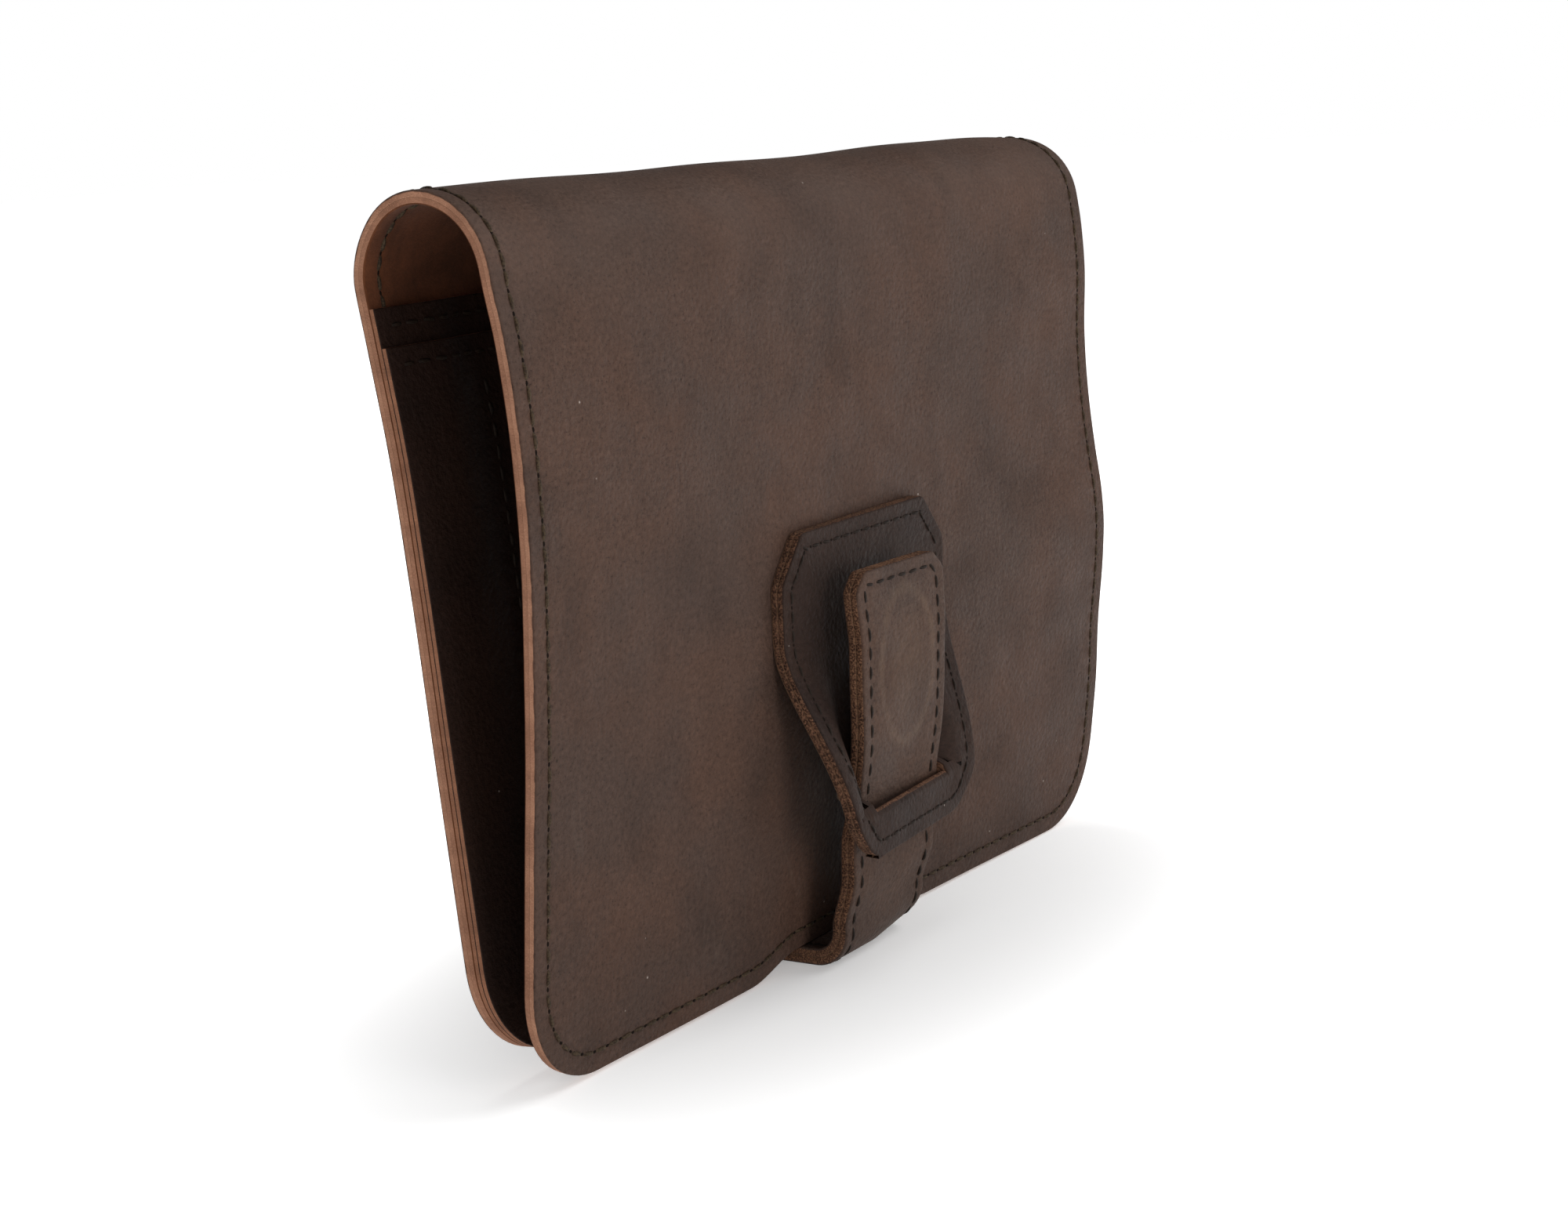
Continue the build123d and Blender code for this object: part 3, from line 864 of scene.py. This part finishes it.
def hole_shape(bench, given):
    """A small flat bead that reads as the dark of a needle hole."""
    bead = bench.node("GeometryNodeMeshUVSphere", {"Segments": 8, "Rings": 4, "Radius": 0.5}).outputs[0]
    size = bench.vector(X=given["Hole Length"], Y=given["Hole Width"], Z=given["Hole Rise"])
    return bench.node("GeometryNodeTransform", {"Geometry": bead, "Scale": size}).outputs[0]


stitch_tree = sewing_tree(
    "stitches", stitch_shape, {"Stitch Length": stitch_length, "Thread Width": thread_width, "Dive": 0.7 * mm}
)
hole_tree = sewing_tree(
    "needle_holes", hole_shape, {"Hole Length": 1.5 * mm, "Hole Width": 1.05 * mm, "Hole Rise": 0.5 * mm}
)


def set_by_tree(name, tree, spots, runs, faces, values):
    """Sets the tree's shape at every spot and gives back a plain mesh."""
    points = bpy.data.meshes.new(name + "_points")
    points.from_pydata(spots.tolist(), [], [])
    give_attribute(points, "run", runs)
    give_attribute(points, "face", faces)
    holder = place_piece(name + "_points", points)
    modifier = holder.modifiers.new("sewing", "NODES")
    modifier.node_group = tree
    for item in tree.interface.items_tree:
        if item.in_out == "INPUT" and item.name in values:
            modifier[item.identifier] = values[item.name]
    holder.update_tag()
    evaluated = holder.evaluated_get(bpy.context.evaluated_depsgraph_get())
    mesh = bpy.data.meshes.new_from_object(evaluated)
    holder.modifiers.clear()
    bpy.data.objects.remove(holder)
    mesh.name = name
    for attribute in list(mesh.attributes):
        if attribute.name in ("run", "face"):
            mesh.attributes.remove(attribute)
    corners = np.zeros(len(mesh.vertices) * 3, np.float32)
    mesh.vertices.foreach_get("co", corners)
    give_attribute(mesh, "hide", corners)
    mesh.polygons.foreach_set("use_smooth", np.ones(len(mesh.polygons), bool))
    return place_piece(name, mesh)


def seam_along(line):
    """Stitch middles, and the needle holes between them: flat places with their headings."""
    steps = np.linalg.norm(np.diff(line, axis=0), axis=1)
    reach = np.concatenate([[0], np.cumsum(steps)])
    count = max(1, round(reach[-1] / stitch_pitch))
    look = 0.6 * mm

    def at(run):
        run = np.clip(run, 0, reach[-1])
        return np.stack([np.interp(run, reach, line[:, k]) for k in (0, 1)], 1)

    result = []
    for shift in (0.5, 0.0):
        run = (np.arange(count) + shift) * reach[-1] / count
        heading = at(run + look) - at(run - look)
        result.append((at(run), heading / np.linalg.norm(heading, axis=1)[:, None]))
    return result


def seam_round(outline, inset):
    line = inset_line(outline, inset)
    return seam_along(np.vstack([line, line[:1]]))


def sew(
    name, seams, place, depth, facing, keep=None, thread=thread_finish, width=thread_width, sink=0.05 * mm, holes=True
):
    """Sews seams at a depth of a sheet, facing -1 on the outer face and 1 on the inner: stitches, then holes."""
    step = 0.3 * mm
    sorts = [("thread", stitch_tree, -sink, {"Finish": thread, "Wander": 0.09, "Thread Width": width})]
    if holes:
        sorts.append(("holes", hole_tree, -0.3 * mm, {"Finish": hole_finish, "Wander": 0.3}))
    pieces = []
    for k, (label, tree, lift, values) in enumerate(sorts):
        spot, heading = (np.concatenate([seam[k][part] for seam in seams]) for part in (0, 1))
        if keep is not None:
            chosen = keep(spot)
            spot, heading = spot[chosen], heading[chosen]
        x, s = spot.T
        ahead, aside = heading.T * step
        level = np.full(len(x), float(depth))
        run = place(x + ahead, s + aside, level) - place(x - ahead, s - aside, level)
        face = place(x, s, level + facing * step) - place(x, s, level)
        run, face = (way / np.linalg.norm(way, axis=1)[:, None] for way in (run, face))
        middle = place(x, s, level + facing * lift)
        pieces.append(set_by_tree(f"{name}_{label}", tree, middle, run, face, values))
    return pieces


# ---------------------------------------------------------------- cover

cover_gap = gap_to([cover_outline])
hem = [seam_round(cover_outline, hem_inset)]
cover_strips = (
    ("back", 0.0, fold_run[1], ("back_panel", "fold_1"), ("back",)),
    ("crest_back", fold_run[1], fold_run[2], ("fold_1", "fold_2"), ("fold_1",)),
    ("crest_front", fold_run[2], fold_run[3], ("fold_2", "fold_3"), ("fold_2",)),
    ("flap", fold_run[3], cover.length, ("fold_3", "flap"), ("fold_3", "flap")),
)
panel_pitch, fold_pitch, foot_pitch = 2.4 * mm, 1.6 * mm, 1.4 * mm
blend_pull = 2.6 * mm


def between(low, high):
    """Chooses the stitches from one run up to another."""
    return lambda spot: (spot[:, 1] >= low) & (spot[:, 1] < high)


def bend_over_hinge(place, middle, runs, pull, bodies, parts, pieces):
    """Bends pieces over one hinge. Where they meet the next ones, they are already rigid by the cut.

    Each piece comes with its material, which is not used, and, where it stands for nodes, the stem of their names.
    """
    start, end = (Vector(place(np.array([middle]), np.array([run]), np.zeros(1))[0]) for run in runs)
    along = (end - start).normalized()
    for piece, material, *stem in pieces:
        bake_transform(piece, *bodies, start=tuple(start + along * pull[0]), end=tuple(end - along * pull[1]))
        if stem:
            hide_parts(*[f"{stem[0]}_{part}" for part in parts])


def as_thread(outside, inside, stem):
    """The stitches on the outer face stand for the run of thread."""
    return [(outside[0], "thread", stem), *[(piece, "thread") for piece in outside[1:] + inside]]


def cover_rows(low, high):
    """Rows close together at a foot, less so over the fold, and wide apart on a panel."""
    if low == 0:
        return spaced_runs(
            (low, corner_radius, foot_pitch, edge_steps, one_step),
            (corner_radius, fold_run[0], panel_pitch, one_step, one_step),
            (fold_run[0], high, fold_pitch, one_step, cut_steps),
        )
    if high == cover.length:
        return spaced_runs(
            (low, fold_run[4], fold_pitch, cut_steps, one_step),
            (fold_run[4], high - corner_radius, panel_pitch, one_step, one_step),
            (high - corner_radius, high, foot_pitch, one_step, edge_steps),
        )
    return spaced(low, high, fold_pitch, cut_steps, cut_steps)


def make_cover_strip(name, low, high, bodies, parts):
    x, s = grid(cover_outline, cover_rows(low, high), panel_pitch)
    hide = cut_sheet(
        f"cover_hide_{name}", x, s, cover_place, (0, hide_thickness), [cover_skin, flesh_side, cover_cut], cover_gap,
        soft=(0.35 * mm, 0.02 * mm), seam=hem_inset, groove=(0.25 * mm, 0.0), edge_bulge=glued_edge_bulge,
    )  # fmt: skip
    lining = cut_sheet(
        f"cover_lining_{name}", x, s, cover_place, (hide_thickness, cover_thickness),
        [flesh_side, lining_nap, lining_cut], cover_gap,
        soft=(0.02 * mm, 0.35 * mm), seam=hem_inset, groove=(0.0, 0.2 * mm), edge_bulge=glued_edge_bulge,
    )  # fmt: skip
    outside = sew(f"hem_outside_{name}", hem, cover_place, 0, -1, between(low, high))
    inside = sew(f"hem_inside_{name}", hem, cover_place, cover_thickness, 1, between(low, high))
    runs = (max(low, fold_run[0]), min(high, fold_run[4]))
    pull = tuple(0.0 if end in (fold_run[0], fold_run[4]) else blend_pull for end in runs)
    sheets = [(hide, "cover_leather", "cover"), (lining, "lining_suede", "lining")]
    pieces = sheets + as_thread(outside, inside, "hem_thread")
    bend_over_hinge(cover_place, 0.0, runs, pull, bodies, parts, pieces)


for strip in cover_strips:
    make_cover_strip(*strip)

# ---------------------------------------------------------------- pockets

seam_half = half_width - hem_inset
divider_pitch = seam_half * 2 / (divider_count + 1)
divider_places = [divider_pitch * (k + 1) - seam_half for k in range(divider_count)]
pocket_edge_steps = edge_steps[:7]
pocket_slack, mouth_slack = 0.25 * mm, 1.1 * mm


def mouth_run(node):
    """The run up the back at which a pocket's mouth is."""
    return (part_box(node)[1].z - panel_foot) / math.cos(back_lean)


tall_run, short_run = mouth_run("pocket_tall"), mouth_run("pocket_short")


def pocket_place(x, s, depth):
    """Each pocket is slack between its two seams, most at its mouth."""
    across = np.clip((x + seam_half) / divider_pitch, 0, divider_count + 1)
    mouth = rise(s, 20 * mm, short_run)
    return cover_place(x, s, depth + np.sin(np.pi * across) ** 2 * (pocket_slack + mouth_slack * mouth**2))


def fix(piece, body, material, *nodes):
    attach(piece, body)
    if nodes:
        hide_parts(*nodes)


def fix_sewing(pieces, body, node):
    """The stitches stand for the run of thread, and their needle holes come with them."""
    for piece, nodes in zip(pieces, ([node], []), strict=True):
        fix(piece, body, "thread", *nodes)


def make_pocket(node, rim_node, near, top):
    outline = panel_outline(top, 0)
    rows = spaced_runs(
        (0, corner_radius, 1.6 * mm, edge_steps, one_step),
        (corner_radius, top, 3 * mm, one_step, pocket_edge_steps),
    )
    x, s = grid(outline, rows, 2.2 * mm, pocket_edge_steps)
    far = near + pocket_thickness
    sheet = cut_sheet(
        f"{node}_sheet", x, s, pocket_place, (near, far), [flesh_side, pocket_hide_and_painted_shade, pocket_cut], gap_to([outline]),
        grain="far", soft=(0.02 * mm, 0.25 * mm), edge_bulge=glued_edge_bulge,
    )  # fmt: skip
    rim_half, rim_run = half_width - rim_inset, top - rim_inset
    rim = [seam_along(np.array([(-rim_half, rim_run), (rim_half, rim_run)]))]
    sewn = sew(f"{node}_sheet_rim", rim, pocket_place, far, 1, thread=dark_thread)
    fix(sheet, "back_panel", "pocket_leather", node)
    fix_sewing(sewn, "back_panel", rim_node)


def sew_dividers():
    low, high = hem_inset + divider_end_gap, short_run - rim_inset - divider_end_gap
    seams = [seam_along(np.array([(place, low), (place, high)])) for place in divider_places]
    depth = cover_thickness + 2 * pocket_thickness
    sewn = sew("pocket_dividers", seams, pocket_place, depth, 1, thread=dark_thread)
    fix_sewing(sewn, "back_panel", "divider_thread")


make_pocket("pocket_tall", "rim_thread_tall", cover_thickness, tall_run)
make_pocket("pocket_short", "rim_thread_short", cover_thickness + pocket_thickness, short_run)
sew_dividers()

# ---------------------------------------------------------------- strap

strap_gap = gap_to([strap_outline])
strap_seam = [seam_round(strap_outline, strap_inset)]
strap_edge_steps = edge_steps[:8]
strap_cut_run = front_bend_run[1]
strap_pull = strap_thickness * math.sin(math.pi / 8) + 0.1 * mm
strap_thread = {"thread": dark_thread, "width": 0.85 * mm, "sink": 0.16 * mm, "holes": False}


def make_strap_part(name, ends, steps, runs, pull, bodies, parts):
    x, s = grid(strap_outline, spaced(*ends, 1.3 * mm, *steps), 1.8 * mm, strap_edge_steps)
    outer = cut_sheet(
        f"strap_outer_{name}_sheet", x, s, strap_place, (0, strap_layer), [strap_skin, flesh_side, strap_cut],
        strap_gap, soft=(0.5 * mm, 0.12 * mm), seam=strap_inset, groove=(0.28 * mm, 0.0),
    )  # fmt: skip
    inner = cut_sheet(
        f"strap_inner_{name}_sheet", x, s, strap_place, (strap_layer, strap_thickness),
        [flesh_side, strap_skin, strap_cut], strap_gap,
        grain="far", soft=(0.12 * mm, 0.5 * mm), seam=strap_inset, groove=(0.0, 0.25 * mm),
    )  # fmt: skip
    outside = sew(f"strap_outside_{name}", strap_seam, strap_place, 0, -1, between(*ends), **strap_thread)
    inside = sew(f"strap_inside_{name}", strap_seam, strap_place, strap_thickness, 1, between(*ends), **strap_thread)
    sheets = [(outer, "strap_leather", "strap_outer"), (inner, "strap_backing_leather", "strap_inner")]
    pieces = sheets + as_thread(outside, inside, "strap_thread")
    bend_over_hinge(strap_place, closure_middle, runs, pull, bodies, parts, pieces)


make_strap_part(
    "root", (0.0, strap_cut_run), (strap_edge_steps, cut_steps), (front_bend_run[0], strap_cut_run),
    (0.0, strap_pull), ("back_panel", "strap_bend"), ("root",),
)  # fmt: skip
make_strap_part(
    "tongue", (strap_cut_run, strap.length), (cut_steps, strap_edge_steps), (strap_cut_run, front_bend_run[2]),
    (strap_pull, 0.0), ("strap_bend", "strap_tongue"), ("bend", "tongue"),
)  # fmt: skip

# ---------------------------------------------------------------- keeper

keeper_rows = spaced_runs(
    (keeper_foot, bar_top, 1.2 * mm, edge_steps[:6], edge_steps[:5]),
    (bar_top, slot_top, 1.2 * mm, cut_steps[:2], cut_steps[:2]),
    (slot_top, keeper_top, 1.4 * mm, edge_steps[:5], edge_steps[:6]),
)
band_edge_shares = np.array([0, 0.006, 0.015, 0.03, 0.06])
columns_over_slot = 30


def keeper_grid():
    """Columns that follow the keeper's sides and the ends of its slot, and the cells that lie off the slot."""
    left, right = (ends[:, None] for ends in side_places(keeper_outline, keeper_rows))
    band = spaced(0, 1, 1 / 12, band_edge_shares, band_edge_shares)
    over_slot = np.tile(np.linspace(slot_left, slot_right, columns_over_slot)[1:-1], (len(left), 1))
    beside_slot = left + band * (slot_left - left), slot_right + band * (right - slot_right)
    x = np.concatenate([beside_slot[0], over_slot, beside_slot[1]], axis=1)
    z = np.repeat(keeper_rows[:, None], x.shape[1], axis=1)
    middle_x, middle_z = ((ends[:-1, :-1] + ends[1:, 1:]) / 2 for ends in (x, z))
    in_slot = (np.abs(middle_x - keeper_middle) < slot_half) & (middle_z > bar_top) & (middle_z < slot_top)
    return x, z, ~in_slot


def make_keeper():
    x, z, off_slot = keeper_grid()
    gap = gap_to([keeper_outline, slot_outline])
    face = cut_sheet(
        "keeper_face_sheet", x, z, keeper_place, (-keeper_thickness, -keeper_layer),
        [keeper_hide_and_painted_shade, flesh_side, keeper_cut], gap, off_slot,
        soft=(0.4 * mm, 0.1 * mm), seam=rim_inset, groove=(0.25 * mm, 0.0),
    )  # fmt: skip
    backing = cut_sheet(
        "keeper_backing_sheet", x, z, keeper_place, (-keeper_layer, 0), [flesh_side, flesh_side, keeper_cut], gap,
        off_slot, grain="far", soft=(0.1 * mm, 0.3 * mm),
    )  # fmt: skip
    seam = [seam_round(keeper_outline, rim_inset)]
    sewn = sew("keeper_seam", seam, keeper_place, -keeper_thickness, -1, thread=dark_thread, width=0.75 * mm)
    fix(face, "flap", "cover_leather", "keeper_face")
    fix(backing, "flap", "keeper_backing_leather", "keeper_backing")
    fix_sewing(sewn, "flap", "keeper_thread")


make_keeper()

# ---------------------------------------------------------------- studio


def white_sweep(name):
    """A white floor that glows more and more away from the case, and keeps a soft shadow near it."""
    bench = FinishBench(name)
    where = bench.node("ShaderNodeTexCoord").outputs["Object"]
    oval = bench.node("ShaderNodeVectorMath", {0: where, 1: (0.6, 1, 1)}, operation="MULTIPLY").outputs[0]
    reach = bench.node("ShaderNodeVectorMath", {0: oval}, operation="LENGTH").outputs["Value"]
    glow = {"Emission Color": (1, 1, 1, 1), "Emission Strength": bench.span(reach, 0.03, 0.17, 0.26, 0.9)}
    return bench.done((0.9, 0.9, 0.9, 1.0), 0.9, **glow)


def lay_floor(half):
    mesh = bpy.data.meshes.new("studio_floor")
    mesh.from_pydata([(-half, -half, 0), (half, -half, 0), (half, half, 0), (-half, half, 0)], [], [(0, 1, 2, 3)])
    mesh.materials.append(white_sweep("studio_floor"))
    place_piece("studio_floor", mesh)


def light_air():
    """A sky that is white low down and dim overhead."""
    sky = bpy.data.worlds.new("studio_air")
    sky.use_nodes = True
    bench = Bench(sky.node_tree)
    way = bench.node("ShaderNodeTexCoord").outputs["Generated"]
    height = bench.node("ShaderNodeSeparateXYZ", {0: way}).outputs["Z"]
    background = sky.node_tree.nodes["Background"]
    background.inputs["Color"].default_value = (1, 1, 1, 1)
    bench.tree.links.new(bench.span(height, 0.1, 0.22, 1.0, 0.12, "LINEAR"), background.inputs["Strength"])
    bpy.context.scene.world = sky
    bpy.context.scene.view_settings.view_transform = "Standard"


def softbox(name, place, aim, size, power):
    light = bpy.data.lights.new(name, "AREA")
    light.shape = "SQUARE"
    light.size = size
    light.energy = power
    lamp = place_piece(name, light)
    lamp.location = place
    lamp.rotation_mode = "QUATERNION"
    lamp.rotation_quaternion = (Vector(aim) - Vector(place)).to_track_quat("-Z", "Y")


def set_camera(place, turn, tilt, roll, lens):
    """Turn is from +Y towards +X, tilt is downwards, and roll is about the line of sight."""
    data = bpy.data.cameras.new("camera")
    data.sensor_width = 36
    data.lens = lens
    data.clip_start = 0.05
    camera = place_piece("camera", data)
    forward = Vector((math.sin(turn) * math.cos(tilt), math.cos(turn) * math.cos(tilt), -math.sin(tilt)))
    level = Vector((math.cos(turn), -math.sin(turn), 0))
    upright = level.cross(forward)
    right_way = level * math.cos(roll) + upright * math.sin(roll)
    up_way = upright * math.cos(roll) - level * math.sin(roll)
    turned = Matrix((right_way, up_way, -forward)).transposed().to_4x4()
    camera.matrix_world = Matrix.Translation(place) @ turned
    bpy.context.scene.camera = camera


lay_floor(6.0)
light_air()
case_middle, case_foot = (0, 0, 0.1), (0, 0, 0.02)
softbox("right_softbox", (1.25, -1.0, 1.45), case_middle, 1.3, 18)
softbox("top_softbox", (0.1, 0.0, 1.7), case_middle, 1.0, 6)
softbox("left_softbox", (-1.5, -0.9, 0.9), case_middle, 0.7, 3.5)
softbox("low_softbox", (-0.2, -1.6, 0.3), case_foot, 0.8, 9)
softbox("back_softbox", (0.5, 1.7, 0.9), case_middle, 1.0, 12)
set_camera((-0.5979, -0.38095, 0.22737), turn=0.991, tilt=0.192, roll=-0.061, lens=63.08)
